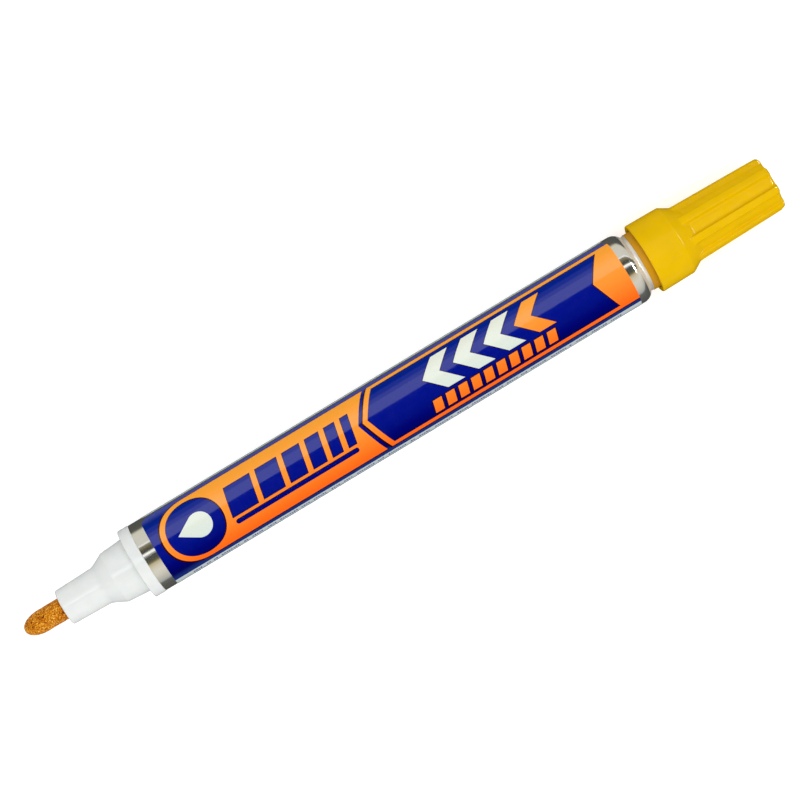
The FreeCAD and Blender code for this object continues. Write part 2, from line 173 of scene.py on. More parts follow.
def drawn_aluminium(name):
    """Bright drawn tube: fine lines along it, faint rubbing and small dents in the shine."""
    look = Surface(name, Metallic=1.0, Roughness=0.1)
    lines = look.noise(5200, detail=3, stretch=(60, 1, 1))
    smear = look.noise(300, detail=4, stretch=(4, 1, 1))
    look.colour(look.ramp(smear, shades(linear(236, 235, 231), 0.95, 1.03)))
    look.roughness(look.span(look.math("MULTIPLY", lines, smear), 0.08, 0.15, 0.1, 0.45))
    look.bump(lines, 0.0016 * MM)
    look.bump(look.noise(120, detail=1), 0.01 * MM)
    return look.material


def turned_aluminium(name, bright, start, end):
    """The bright aluminium, turned matt and pale by a cutting tool beyond start, fully at end."""
    material = bright.copy()
    material.name = name
    nodes, links = material.node_tree.nodes, material.node_tree.links
    shader = nodes["Principled BSDF"]
    split = nodes.new("ShaderNodeSeparateXYZ")
    place = next(node for node in nodes if node.type == "TEX_COORD").outputs["Object"]
    links.new(place, split.inputs["Vector"])
    zone = nodes.new("ShaderNodeMapRange")
    zone.inputs["From Min"].default_value = start
    zone.inputs["From Max"].default_value = end
    links.new(split.outputs["X"], zone.inputs["Value"])
    bright_roughness = shader.inputs["Roughness"].links[0].from_socket
    blend = nodes.new("ShaderNodeMix")
    links.new(zone.outputs["Result"], blend.inputs["Factor"])
    links.new(bright_roughness, blend.inputs["A"])
    blend.inputs["B"].default_value = TURNED_ROUGHNESS
    links.new(blend.outputs["Result"], shader.inputs["Roughness"])
    metal = nodes.new("ShaderNodeMapRange")
    metal.inputs["To Min"].default_value = 1.0
    metal.inputs["To Max"].default_value = TURNED_METALLIC
    links.new(zone.outputs["Result"], metal.inputs["Value"])
    links.new(metal.outputs["Result"], shader.inputs["Metallic"])
    rings = nodes.new("ShaderNodeTexNoise")
    rings.noise_dimensions = "1D"
    rings.inputs["Scale"].default_value = 5000
    rings.inputs["Detail"].default_value = 3
    links.new(split.outputs["X"], rings.inputs["W"])
    height = nodes.new("ShaderNodeMath")
    height.operation = "MULTIPLY"
    links.new(rings.outputs["Fac"], height.inputs[0])
    links.new(zone.outputs["Result"], height.inputs[1])
    grooves = nodes.new("ShaderNodeBump")
    grooves.inputs["Distance"].default_value = 0.02 * MM
    links.new(height.outputs["Value"], grooves.inputs["Height"])
    links.new(shader.inputs["Normal"].links[0].from_socket, grooves.inputs["Normal"])
    links.new(grooves.outputs["Normal"], shader.inputs["Normal"])
    return material


def pressed_fibre(name):
    """Nib of pressed fibres soaked in amber paint, with darker pores between the fibres."""
    look = Surface(name, Roughness=0.8, Specular_IOR_Level=0.25)
    strands = look.noise(6200, detail=3, roughness=0.8, stretch=(2.4, 1, 1))
    pores = look.noise(4600, detail=2, roughness=0.6, stretch=(1.3, 1, 1))
    stain = look.noise(420, detail=3)
    shade = look.math("MULTIPLY", strands, 0.5)
    shade = look.math("ADD", shade, look.math("MULTIPLY", pores, 0.35))
    shade = look.math("ADD", shade, look.math("MULTIPLY", stain, 0.15))
    stops = [
        (0.41, linear(70, 18, 0)),
        (0.46, linear(158, 80, 0)),
        (0.51, linear(206, 122, 0)),
        (0.56, linear(228, 154, 16)),
        (0.61, linear(255, 222, 130)),
    ]
    look.colour(look.ramp(shade, stops))
    look.bump(shade, 0.09 * MM)
    return look.material


def soft_rubber(name):
    look = Surface(name, Roughness=0.6)
    look.colour(look.ramp(look.noise(700), shades(linear(42, 42, 44), 0.8, 1.2)))
    look.bump(look.noise(7000, detail=3), 0.01 * MM)
    return look.material


def spring_steel(name):
    look = Surface(name, Metallic=1.0, Roughness=0.25)
    scratches = look.noise(6000, detail=3, stretch=(1, 3, 1))
    look.colour(look.ramp(look.noise(500), shades(linear(196, 196, 198), 0.9, 1.05)))
    look.roughness(look.span(scratches, 0.16, 0.34))
    look.bump(scratches, 0.002 * MM)
    return look.material


def plain(red, green, blue):
    """Stops of one colour for an ink that isn't graded."""
    return [(0, linear(red, green, blue)), (1, linear(red, green, blue))]


def ink_with_painted_shade(name, stops, speckle=0.08):
    """Ink under a glossy film, coloured across the artwork by the stops, with fine speckle and
    orange peel.

    A stop is (place, colour): place 0 is the barrel's -Y side, 1 its +Y side.
    """
    look = Surface(name)
    split = look.nodes.new("ShaderNodeSeparateXYZ")
    look.links.new(look.place, split.inputs["Vector"])
    # Colour across the artwork from the stops; where they darken towards -Y this is painted shade.
    ink_and_painted_shade = look.ramp(look.span(split.outputs["Y"], 0, 1, -LABEL_EDGE, LABEL_EDGE), stops)
    grain = look.span(look.noise(3600, detail=4, roughness=0.7), 1 - speckle, 1 + speckle)
    shaded = look.nodes.new("ShaderNodeVectorMath")
    shaded.operation = "SCALE"
    look.links.new(ink_and_painted_shade, shaded.inputs["Vector"])
    look.links.new(grain, shaded.inputs["Scale"])
    look.colour(shaded.outputs["Vector"])
    look.roughness(look.span(look.noise(800, detail=3), 0.07, 0.13))
    look.bump(look.noise(1500, detail=2), 0.0012 * MM)
    return look.material


WHITE_PLASTIC = moulded_plastic(
    "white_plastic", linear(223, 226, 224), 0.16, 0.0008 * MM, subsurface=0.1
)
YELLOW_PLASTIC = moulded_plastic("yellow_plastic", linear(228, 182, 0), 0.13, 0.0005 * MM)
# The tail plug's plastic: the cap's yellow made darker, painted shade for the shadow under the
# cap's rim.
PLUG_PLASTIC_PAINTED_SHADE = moulded_plastic("plug_plastic_painted_shade", linear(198, 141, 0), 0.3, 0.0012 * MM)
NATURAL_PLASTIC = moulded_plastic(
    "natural_plastic", linear(228, 226, 216), 0.42, 0.002 * MM, subsurface=0.2
)
BARREL_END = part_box("barrel")[1].x
TURNED_START, TURNED_FULL = BARREL_END - 1.4 * MM, BARREL_END - 1.15 * MM
ALUMINIUM = turned_aluminium(
    "bare_aluminium", drawn_aluminium("drawn_aluminium"), TURNED_START, TURNED_FULL
)
FIBRE = pressed_fibre("nib_fibre")
RUBBER = soft_rubber("gasket_rubber")
STEEL = spring_steel("spring_steel")
LABEL_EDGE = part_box("barrel_label")[1].y
# Stops of the blue, orange and white inks, lighter towards +Y and darker towards -Y: painted shade,
# as if lit from the +Y side. The blue's lighter, greyer stops at both edges are painted reflection
# at the label's edges.
BLUE_WITH_PAINTED_SHADE_AND_REFLECTION = [
    (0.07, (0.010, 0.026, 0.160, 1)),
    (0.13, (0.0, 0.0005, 0.085, 1)),
    (0.24, (0.0, 0.001, 0.145, 1)),
    (0.37, (0.0, 0.0045, 0.197, 1)),
    (0.5, (0.0, 0.0045, 0.225, 1)),
    (0.82, (0.0, 0.0145, 0.250, 1)),
    (0.88, (0.002, 0.016, 0.215, 1)),
    (0.94, (0.055, 0.075, 0.330, 1)),
]
ORANGE_WITH_PAINTED_SHADE = [
    (0.13, (1.0, 0.135, 0.007, 1)),
    (0.24, (1.0, 0.183, 0.015, 1)),
    (0.5, (0.98, 0.285, 0.030, 1)),
    (0.87, (0.98, 0.375, 0.040, 1)),
]
OFF_WHITE_WITH_PAINTED_SHADE = [
    (0.3, (0.60, 0.69, 0.65, 1)),
    (0.5, (0.69, 0.75, 0.67, 1)),
    (0.87, (0.80, 0.83, 0.70, 1)),
]
# The blue, orange and white inks carry painted shade from their stops; the blue also carries
# painted reflection at its edges.
INKS = {
    "blue": ink_with_painted_shade("ink_blue_painted_shade", BLUE_WITH_PAINTED_SHADE_AND_REFLECTION, speckle=0.14),
    "orange": ink_with_painted_shade("ink_orange_painted_shade", ORANGE_WITH_PAINTED_SHADE, speckle=0.03),
    "white": ink_with_painted_shade("ink_white_painted_shade", OFF_WHITE_WITH_PAINTED_SHADE, speckle=0.03),
    "silver": ink_with_painted_shade("ink_silver", plain(190, 200, 200)),
    "outline": ink_with_painted_shade("ink_outline", [(0, linear(8, 0, 12)), (1, linear(60, 12, 20))]),
    "small_print": ink_with_painted_shade("ink_small_print", plain(60, 70, 138)),
    "film_edge": ink_with_painted_shade("ink_film_edge", plain(214, 216, 214)),
}


# ---------------------------------------------------------------- mesh helpers


def add_piece(name, mesh, body, replaced):
    """Put a finished mesh on its body in place of a CAD node."""
    for polygon in mesh.polygons:
        polygon.use_smooth = True
    piece = bpy.data.objects.new(name, mesh)
    bpy.context.scene.collection.objects.link(piece)
    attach(piece, body)
    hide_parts(replaced)
    return piece


def loft(name, loops, material):
    """A closed solid through loops of equal length; a loop of one point closes an end."""
    mesh = bmesh.new()
    rings = [[mesh.verts.new(point) for point in loop] for loop in loops]
    for first, second in zip(rings, rings[1:]):
        count = max(len(first), len(second))
        for index in range(count):
            following = (index + 1) % count
            corners = [first[index % len(first)], first[following % len(first)]]
            corners += [second[following % len(second)], second[index % len(second)]]
            mesh.faces.new(list(dict.fromkeys(corners)))
    bmesh.ops.recalc_face_normals(mesh, faces=mesh.faces)
    data = bpy.data.meshes.new(name)
    mesh.to_mesh(data)
    mesh.free()
    data.materials.append(material)
    return data


def on_axis(along, radius, angle):
    """A point at a distance along the pen and from its axis; the angle is from up towards -Y."""
    across = -radius * math.sin(angle)
    return Vector((along, across, AXIS_Z + radius * math.cos(angle)))


# ---------------------------------------------------------------- cap

RIDGES = 8
RIDGE_TURN = math.radians(18.75)
RIDGE_PROFILE = [
    (-6.1, 1.0), (-3.0, 1.0), (0.0, 1.0), (3.0, 1.0), (5.6, 1.0), (6.6, 0.96), (7.5, 0.85),
    (8.3, 0.68), (9.1, 0.48), (10.0, 0.28), (11.1, 0.12), (12.4, 0.03), (13.8, 0.0), (15.6, 0.0),
    (18.8, 0.0), (22.5, 0.0), (26.2, 0.0), (30.0, 0.0), (33.2, 0.0), (34.6, 0.02), (35.6, 0.1),
    (36.2, 0.28), (36.5, 0.5), (36.85, 0.72), (37.3, 0.88), (38.0, 0.97),
]


def cap_loop(along, panel_radius, ridge_radius):
    """One loop round the cap, with the ridges standing from the panels to the ridge radius."""
    loop = []
    for ridge in range(RIDGES):
        centre = RIDGE_TURN + ridge * math.tau / RIDGES
        for degrees, share in RIDGE_PROFILE:
            radius = panel_radius + share * (ridge_radius - panel_radius)
            loop.append(on_axis(along, radius, centre + math.radians(degrees)))
    return loop


def rounded_corner(along, radius, size, start, end, steps=6):
    """Stations on an arc about (along, radius), from one angle to another, in degrees."""
    stations = []
    for step in range(steps + 1):
        angle = math.radians(start + (end - start) * step / steps)
        stations.append((along + size * math.cos(angle), radius + size * math.sin(angle)))
    return stations


def mixed(first, last, count):
    """Evenly spaced numbers from first to last, ends included."""
    return [first + (last - first) * step / (count - 1) for step in range(count)]


def make_cap():
    """Cap: rounded end, ridged grip, cone, skirt with a rounded rim, and its hollow inside."""
    low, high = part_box("cap_shell")
    rim, end = low.x, high.x
    skirt_radius = (high.z - low.z) / 2
    seal_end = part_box("cap_inner_seal")[1].x

    def from_rim(length):
        return rim + length * MM

    grip_base, grip_tip = 6.08 * MM, 5.68 * MM
    panel_depth = 0.8 * MM
    cone_end, panel_start = from_rim(8.95), from_rim(10.25)
    skirt_end, skirt_end_radius = from_rim(7.05), 7.19 * MM
    skirt_taper = 0.016
    end_edge, rim_edge, mouth_edge = 0.8 * MM, 0.25 * MM, 0.2 * MM
    cone_blend, ridge_blend, skirt_blend = 0.12 * MM, 0.1 * MM, 0.06 * MM
    bore_end, skirt_bore, bead, seal_bore, grip_bore = (
        from_rim(7.75), 6.2 * MM, 5.79 * MM, 4.25 * MM, 3.9 * MM
    )
    end_wall = 1.3 * MM

    def ridge_radius(along):
        share = max(0.0, (along - cone_end) / (end - cone_end))
        return grip_base + (grip_tip - grip_base) * share

    loops = [[on_axis(end, 0, 0)]]
    flat_radius = ridge_radius(end) - end_edge
    for share in (0.25, 0.6, 0.9):
        loops.append(cap_loop(end, (flat_radius - panel_depth) * share, flat_radius * share))
    for along, radius in rounded_corner(end - end_edge, flat_radius, end_edge, 0, 90, 8):
        loops.append(cap_loop(along, radius - panel_depth, radius))
    for along in mixed(end - 2 * end_edge, panel_start + 0.5 * MM, 14):
        loops.append(cap_loop(along, ridge_radius(along) - panel_depth, ridge_radius(along)))

    def cone_radius(along):
        share = (along - skirt_end) / (panel_start - skirt_end)
        return skirt_end_radius + (grip_base - panel_depth - skirt_end_radius) * share

    for along in mixed(panel_start + 0.3 * MM, skirt_end + 0.35 * MM, 26):
        floor = ridge_radius(along) - panel_depth
        cone = cone_radius(along)
        panel = soft_max(cone, floor, cone_blend)
        ridge = soft_max(cone, ridge_radius(along), ridge_blend)
        loops.append(cap_loop(along, panel, max(panel, ridge)))
    for along in mixed(skirt_end + 0.28 * MM, skirt_end - 0.3 * MM, 7):
        taper = skirt_end_radius + (skirt_end - along) * skirt_taper
        radius = -soft_max(-cone_radius(along), -taper, skirt_blend)
        loops.append(cap_loop(along, radius, radius))
    for along in mixed(skirt_end - 1.2 * MM, rim + 2 * rim_edge, 6):
        share = (along - rim) / (skirt_end - rim)
        radius = skirt_radius - share * (skirt_radius - skirt_end_radius)
        loops.append(cap_loop(along, radius, radius))
    inner = [
        *rounded_corner(rim + rim_edge, skirt_radius - rim_edge, rim_edge, 90, 180),
        *rounded_corner(rim + mouth_edge, skirt_bore + mouth_edge, mouth_edge, 180, 270, 4),
        (from_rim(1.45), skirt_bore),
        (from_rim(2.25), bead),
        (from_rim(3.05), skirt_bore),
        (bore_end, skirt_bore),
        (bore_end, seal_bore),
        (seal_end, seal_bore),
        (seal_end, grip_bore),
        (end - end_wall, grip_bore),
    ]
    for along, radius in inner:
        loops.append(cap_loop(along, radius, radius))
    loops.append([on_axis(end - end_wall, 0, 0)])
    mesh = loft("cap", loops, YELLOW_PLASTIC)
    cap = add_piece("cap", mesh, "cap", "cap_shell")
    mesh.set_sharp_from_angle(angle=math.radians(48))
    return cap


def soft_max(first, second, width):
    """The larger of two lengths, with the change between them rounded over the given width."""
    return (first + second + math.hypot(first - second, width)) / 2


# ---------------------------------------------------------------- nib


def make_nib():
    """Nib: a slightly blunt nose on a rod, its surface ridged by the fibres."""
    low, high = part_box("nib")
    room_for_fibres = 0.03 * MM
    radius = (high.z - low.z) / 2 - room_for_fibres
    nose, bared_end, hidden_start = 4.02 * MM, 9.4 * MM, 10 * MM
    bluntness = 2.15
    fibre_depth = 0.05 * MM
    strands_round, strands_per_mm = 26.0, 0.9
    nose_steps, sides = 40, 192

    def fibres(along, angle):
        across = strands_round * Vector((0, math.cos(angle), math.sin(angle)))
        place = across + Vector((along / MM * strands_per_mm, 0, 0))
        fine = noise.noise(place)
        coarse = noise.noise(place * 0.4 + Vector((7.0, 3.0, 5.0)))
        return fibre_depth * (0.6 * fine + 0.4 * coarse - 0.3)

    def loop(along, size):
        points = []
        for index in range(sides):
            angle = math.tau * index / sides
            depth = fibres(along, angle) * min(1.0, size / radius)
            points.append(on_axis(along, size + depth, angle))
        return points

    loops = [[on_axis(low.x, 0, 0)]]
    for step in range(1, nose_steps):
        angle = math.pi / 2 * step / nose_steps
        size = radius * math.sin(angle) ** (2 / bluntness)
        loops.append(loop(low.x + nose * (1 - math.cos(angle)), size))
    for along in mixed(low.x + nose, low.x + bared_end, 36):
        loops.append(loop(along, radius))
    for along in mixed(low.x + hidden_start, high.x, 6):
        loops.append(loop(along, radius))
    loops.append([on_axis(high.x, 0, 0)])
    mesh = loft("nib_fibres", loops, FIBRE)
    add_piece("nib_fibres", mesh, "nib", "nib")
    mesh.set_sharp_from_angle(angle=math.radians(60))


# ---------------------------------------------------------------- valve spring


def make_spring():
    """Open coil spring with its end turns closed up, which shortens as the valve lifts."""
    low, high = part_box("valve_spring")
    wire = 0.25 * MM
    coil = (high.z - low.z) / 2 - wire
    start, end = low.x + wire, high.x - wire
    turns, closed, pitch = 7.0, 0.9, 2 * wire
    steps_per_turn, sides = 40, 12
    open_length = end - start - 2 * closed * pitch
    open_turns = turns - 2 * closed

    def along(turn):
        if turn < closed:
            return start + turn * pitch
        if turn > turns - closed:
            return end - (turns - turn) * pitch
        return start + closed * pitch + (turn - closed) / open_turns * open_length

    loops = []
    for step in range(int(turns * steps_per_turn) + 1):
        turn = step / steps_per_turn
        angle = math.tau * turn
        middle = on_axis(along(turn), coil, angle)
        outward = (middle - Vector((middle.x, 0, AXIS_Z))).normalized()
        loop = []
        for side in range(sides):
            lean = math.tau * side / sides
            direction = outward * math.cos(lean) + Vector((math.sin(lean), 0, 0))
            loop.append(middle + wire * direction)
        if step == 0:
            loops.append([middle])
        loops.append(loop)
    loops.append([middle])
    mesh = loft("spring_coil", loops, STEEL)
    spring = add_piece("spring_coil", mesh, "barrel", "valve_spring")
    mesh.set_sharp_from_angle(angle=math.radians(60))
    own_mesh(spring)
    return spring


# ---------------------------------------------------------------- label artwork
# Artwork is laid out flat, in millimetres: first the distance along the label from its front edge,
# less ART_START, then the distance round the barrel from the artwork's middle, positive towards -Y.

LABEL_LOW, LABEL_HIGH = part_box("barrel_label")
LABEL_RADIUS = (LABEL_HIGH.z - LABEL_LOW.z) / 2 / MM
LABEL_LENGTH = (LABEL_HIGH.x - LABEL_LOW.x) / MM
LABEL_ROUND = math.tau * LABEL_RADIUS
FILM = 0.05
CORNER = 2.0
ART_MIDDLE = -0.33
ART_START = -0.17
SEAM_EDGE = -8.68 - ART_MIDDLE
SEAM_GAP = 1.1
FAR_EDGE = SEAM_EDGE - SEAM_GAP + LABEL_ROUND
PRINT_EDGE = 8.4
PANEL_HALF = 7.1
INNER_HALF = 6.08
LEAN = -0.2
FACET = math.radians(3)


def arc(centre, radius, start, end, steps):
    """Points on an arc, angles in degrees, both ends included."""
    return [
        (
            centre[0] + radius * math.cos(math.radians(angle)),
            centre[1] + radius * math.sin(math.radians(angle)),
        )
        for angle in mixed(start, end, steps + 1)
    ]


def rounded_box(left, top, right, bottom, radius):
    """A box with rounded corners."""
    return [
        *arc((right - radius, bottom - radius), radius, 0, 90, 6),
        *arc((left + radius, bottom - radius), radius, 90, 180, 6),
        *arc((left + radius, top + radius), radius, 180, 270, 6),
        *arc((right - radius, top + radius), radius, 270, 360, 6),
    ]


def slanted(left, right, top, bottom):
    """A bar whose sides lean like slanted print; left and right are at mid height."""
    lean = LEAN * (bottom - top) / 2
    return [
        (left + lean, bottom), (right + lean, bottom), (right - lean, top), (left - lean, top),
    ]


def arrow(left, width, thickness, top, bottom):
    """A chevron that points towards the nib."""
    middle = (top + bottom) / 2
    return [
        (left, middle), (left + width, top), (left + width + thickness, top),
        (left + thickness, middle), (left + width + thickness, bottom), (left + width, bottom),
    ]


def grown(outline, amount):
    """The outline moved outwards by an amount, its corners mitred."""
    points = [Vector(point) for point in outline]
    area = sum(
        one.x * two.y - two.x * one.y for one, two in zip(points, points[1:] + points[:1])
    )
    side = 1 if area > 0 else -1
    moved = []
    for index, point in enumerate(points):
        before = (point - points[index - 1]).normalized()
        after = (points[(index + 1) % len(points)] - point).normalized()
        normals = [Vector((edge.y, -edge.x)) * side for edge in (before, after)]
        mitre = (normals[0] + normals[1]) / max(0.35, 1 + normals[0].dot(normals[1]))
        moved.append(tuple(point + mitre * amount))
    return moved


class Artwork:
    """Flat shapes in printing order; a later one covers an earlier one."""

    def __init__(self):
        self.shapes = []

    def paint(self, ink, outline):
        self.shapes.append((ink, [(x + ART_START, y) for x, y in outline]))

    def outlined(self, ink, outline, width, shift=(0, 0)):
        self.paint("outline", [(x + shift[0], y + shift[1]) for x, y in grown(outline, width)])
        self.paint(ink, outline)


def draw_panels(art):
    """Orange panel with a round front and a notched back, then a framed blue panel."""
    drop_shadow = (-0.15, 0.05)
    round_front = arc((9.1, 0), PANEL_HALF, 270, 90, 40)
    notch = [(47.9, PANEL_HALF), (45.3, -0.45), (49.3, -PANEL_HALF)]
    art.outlined("orange", round_front + notch, 0.19, drop_shadow)
    frame_back = [(LABEL_LENGTH + 1, -PANEL_HALF), (LABEL_LENGTH + 1, PANEL_HALF)]
    frame_front = [(49.0, PANEL_HALF), (46.25, -0.45), (50.3, -PANEL_HALF)]
    art.outlined("orange", frame_front + frame_back, 0.17, drop_shadow)
    inner_front = [(49.8, INNER_HALF), (47.4, -0.45), (51.0, -INNER_HALF)]
    inner_back = [(100.6, -INNER_HALF), (97.1, -0.5), (99.7, INNER_HALF)]
    art.outlined("blue", inner_front + inner_back, 0.13, (0.08, -0.01))


def draw_drop(art):
    """Blue disc with a white drop in it."""
    centre = (8.9, 0.0)
    art.outlined("blue", arc(centre, 5.76, 0, 354, 59), 0.17, (0.12, -0.02))
    body_centre, body_radius = (9.9, 0.0), 2.5
    tangent = 52
    drop = arc(body_centre, body_radius, 180 + tangent, 540 - tangent, 40)
    art.paint("white", drop + [(5.2, 0.0)])


def draw_stripes(art):
    """Slanted blue stripes that narrow towards the cap, over a thin bar."""
    left, gap = 16.6, 1.35
    for width in (5.6, 4.6, 3.7, 2.9, 2.2, 1.6):
        art.outlined("blue", slanted(left, left + width, -3.73, 2.2), 0.12)
        left += width + gap
    art.outlined("blue", rounded_box(16.2, 3.05, 43.1, 3.85, 0.39), 0.13, (0, -0.05))


def draw_arrows(art):
    """Three white arrows and an orange one, over a row of small orange bars."""
    for index, ink in enumerate(("white", "white", "white", "orange")):
        art.outlined(ink, arrow(60.2 + index * 6.75, 3.6, 3.7, -5.2, 2.0), 0.12, (0, 0.03))
    left, width, gap = 59.6, 1.9, 0.9
    for _ in range(10):
        art.outlined("orange", slanted(left, left + width, 2.8, 5.5), 0.22, (0, 0.04))
        left += width + gap


def draw_small_print(art, chance):
    """Rows of dashes where the label's small print would be."""
    art.paint("silver", rounded_box(-1, PRINT_EDGE, LABEL_LENGTH + 1, FAR_EDGE, 0.02))
    row, pitch, height = PRINT_EDGE + 0.62, 1.32, 0.62
    while row + height < FAR_EDGE - 0.8:
        left = 4.0 if chance.random() < 0.75 else 9.0
        right = LABEL_LENGTH - chance.choice((4.0, 5.0, 8.0, 30.0))
        while left < right:
            word = chance.uniform(0.9, 4.6)
            for letter in range(int(word / 0.5)):
                top = row + 0.12 - chance.choice((0.0, 0.0, 0.12))
                edge = left + letter * 0.5
                bottom = row + height - chance.choice((0, 0.06))
                art.paint("small_print", slanted(edge, edge + 0.36, top, bottom))
            left += word + 0.55
        row += pitch
        if chance.random() < 0.16:
            row += pitch * 0.6


def flat_mesh(art, edge_outline):
    """Triangles of the artwork with each one's ink, cut at facets fine enough to bend."""
    points, edges = [], []

    def add_path(path, closed):
        first = len(points)
        points.extend(Vector(point) for point in path)
        last = len(points) - 1
        edges.extend((index, index + 1) for index in range(first, last))
        if closed:
            edges.append((last, first))

    for _, outline in art.shapes:
        add_path(outline, closed=True)
    step = FACET * LABEL_RADIUS
    for row in range(math.ceil(SEAM_EDGE / step), math.ceil(FAR_EDGE / step)):
        add_path([(0, row * step), (LABEL_LENGTH, row * step)], closed=False)
    add_path(edge_outline, closed=True)
    flat, _, faces, *_ = geometry.delaunay_2d_cdt(points, edges, [], 0, 1e-5)
    flat = np.array(flat)
    middles = flat[np.array(faces)].mean(axis=1)
    ink_of = np.full(len(faces), -1)
    names = list(INKS)
    ink_of[inside(middles, edge_outline)] = names.index("blue")
    kept = ink_of >= 0
    for ink, outline in art.shapes:
        ink_of[kept & inside(middles, outline)] = names.index(ink)
    return flat, [face for face, keep in zip(faces, kept) if keep], ink_of[kept]


def inside(middles, outline):
    """Which points lie inside a closed outline, by counting the sides that they look across."""
    outline = np.array(outline)
    low, high = outline.min(0), outline.max(0)
    near = np.all((middles >= low) & (middles <= high), axis=1)
    x, y = middles[near, 0], middles[near, 1]
    crossed = np.zeros(len(x), bool)
    for (x1, y1), (x2, y2) in zip(outline, np.roll(outline, -1, axis=0)):
        if y1 == y2:
            continue
        spans = (y1 > y) != (y2 > y)
        crossed ^= spans & (x < (x2 - x1) * (y - y1) / (y2 - y1) + x1)
    result = np.zeros(len(middles), bool)
    result[near] = crossed
    return result


def make_label():
    """Wrap label: printed shapes bent round the barrel, with the film's own thickness."""
    art = Artwork()
    draw_small_print(art, random.Random(7))
    draw_panels(art)
    draw_drop(art)
    draw_stripes(art)
    draw_arrows(art)
    outline = rounded_box(0, SEAM_EDGE, LABEL_LENGTH, FAR_EDGE, CORNER)
    flat, faces, inks = flat_mesh(art, outline)

    def bent(point, radius):
        angle = (point[1] + ART_MIDDLE) / LABEL_RADIUS
        return on_axis(LABEL_LOW.x + point[0] * MM, radius * MM, angle)

    mesh = bmesh.new()
    used = sorted({index for face in faces for index in face})
    verts = {index: mesh.verts.new(bent(flat[index], LABEL_RADIUS)) for index in used}
    for face, ink in zip(faces, inks):
        mesh.faces.new([verts[index] for index in reversed(face)]).material_index = int(ink)
    film_edge = list(INKS).index("film_edge")
    backs = {index: mesh.verts.new(bent(flat[index], LABEL_RADIUS - FILM)) for index in used}
    sides = set()
    for face in faces:
        mesh.faces.new([backs[index] for index in face]).material_index = film_edge
        sides.update(zip(face, face[1:] + face[:1]))
    for one, two in sorted(sides):
        if (two, one) not in sides:
            wall = mesh.faces.new((verts[one], verts[two], backs[two], backs[one]))
            wall.material_index = film_edge
    data = bpy.data.meshes.new("label")
    mesh.to_mesh(data)
    mesh.free()
    for material in INKS.values():
        data.materials.append(material)
    label = add_piece("label", data, "barrel", "barrel_label")
    shade_as_cylinder(data, film_edge)
    return label


def shade_as_cylinder(data, flat_material):
    """Give every printed corner the barrel's own outward direction."""
    directions = []
    for polygon in data.polygons:
        for index in polygon.vertices:
            place = data.vertices[index].co
            outward = Vector((0, place.y, place.z - AXIS_Z)).normalized()
            flat = polygon.material_index == flat_material
            directions.append(polygon.normal if flat else outward)
    data.normals_split_custom_set(directions)


# ---------------------------------------------------------------- finish of the CAD pieces

CAD_FINISHES = {
    "front_section": WHITE_PLASTIC,
    "front_gasket": RUBBER,
    "valve_seat": NATURAL_PLASTIC,
    "valve_stem": NATURAL_PLASTIC,
    "valve_seal": RUBBER,
    "spring_cage": NATURAL_PLASTIC,
    "barrel": ALUMINIUM,
    "mixing_ball": STEEL,
    # Painted shade: the plug's plastic is darkened for the shadow under the cap's rim.
    "tail_plug": PLUG_PLASTIC_PAINTED_SHADE,
    "cap_inner_seal": NATURAL_PLASTIC,
}


def finish_cad_pieces():
    for node, material in CAD_FINISHES.items():
        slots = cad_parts[node].data.materials
        slots.clear()
        slots.append(material)


# ---------------------------------------------------------------- stage, light and camera


def make_floor():
    mesh = bmesh.new()
    bmesh.ops.create_grid(mesh, x_segments=8, y_segments=8, size=1.5)
    data = bpy.data.meshes.new("floor")
    mesh.to_mesh(data)
    mesh.free()
    look = Surface("floor_paper", Roughness=0.9, Emission_Strength=0.38)
    look.shader.inputs["Emission Color"].default_value = (1, 1, 1, 1)
    look.colour(look.ramp(look.noise(6, detail=2), shades(linear(236, 236, 236), 0.99, 1.01)))
    data.materials.append(look.material)
    floor = bpy.data.objects.new("floor", data)
    bpy.context.scene.collection.objects.link(floor)
    floor.visible_glossy = False


# What mirrors see round the pen: each stop is the angle from overhead towards -Y, in degrees, and
# the light there. Bright and dark bands run along the pen, as inside a light tent.
TENT = [
    (-180, (0.075, 0.075, 0.07)),
    (-106, (0.1, 0.1, 0.09)),
    (-100, (0.2, 0.19, 0.16)),
    (-96, (0.55, 0.52, 0.42)),
    (-90, (0.68, 0.66, 0.56)),
    (-44, (0.7, 0.69, 0.63)),
    (-42, (1.1, 1.1, 1.1)),
    (-40.5, (1.1, 1.1, 1.1)),
    (-38.6, (0.26, 0.25, 0.2)),
    (-30, (0.2, 0.16, 0.08)),
    (-25, (0.08, 0.085, 0.07)),
    (-16, (0.09, 0.09, 0.08)),
    (-14.6, (0.7, 0.68, 0.52)),
    (-13.2, (1.3, 1.3, 1.25)),
    (-10.4, (1.3, 1.3, 1.3)),
    (-8.6, (0.09, 0.095, 0.09)),
    (12, (0.08, 0.085, 0.07)),
    (19, (0.18, 0.15, 0.08)),
    (24, (0.58, 0.5, 0.3)),
    (34, (0.7, 0.65, 0.5)),
    (50, (0.78, 0.75, 0.66)),
    (66, (0.72, 0.69, 0.6)),
    (86, (0.52, 0.52, 0.47)),
    (95, (0.4, 0.42, 0.42)),
    (100, (0.15, 0.15, 0.14)),
    (120, (0.11, 0.11, 0.105)),
    (180, (0.075, 0.075, 0.07)),
]


def only_glossy(lamp, receivers):
    """Let an object light only the reflections of the given objects."""
    for ray in ("camera", "diffuse", "shadow", "transmission", "volume_scatter"):
        setattr(lamp, "visible_" + ray, False)
    group = bpy.data.collections.new(lamp.name + "_receivers")
    for receiver in receivers:
        group.objects.link(receiver)
    lamp.light_linking.receiver_collection = group


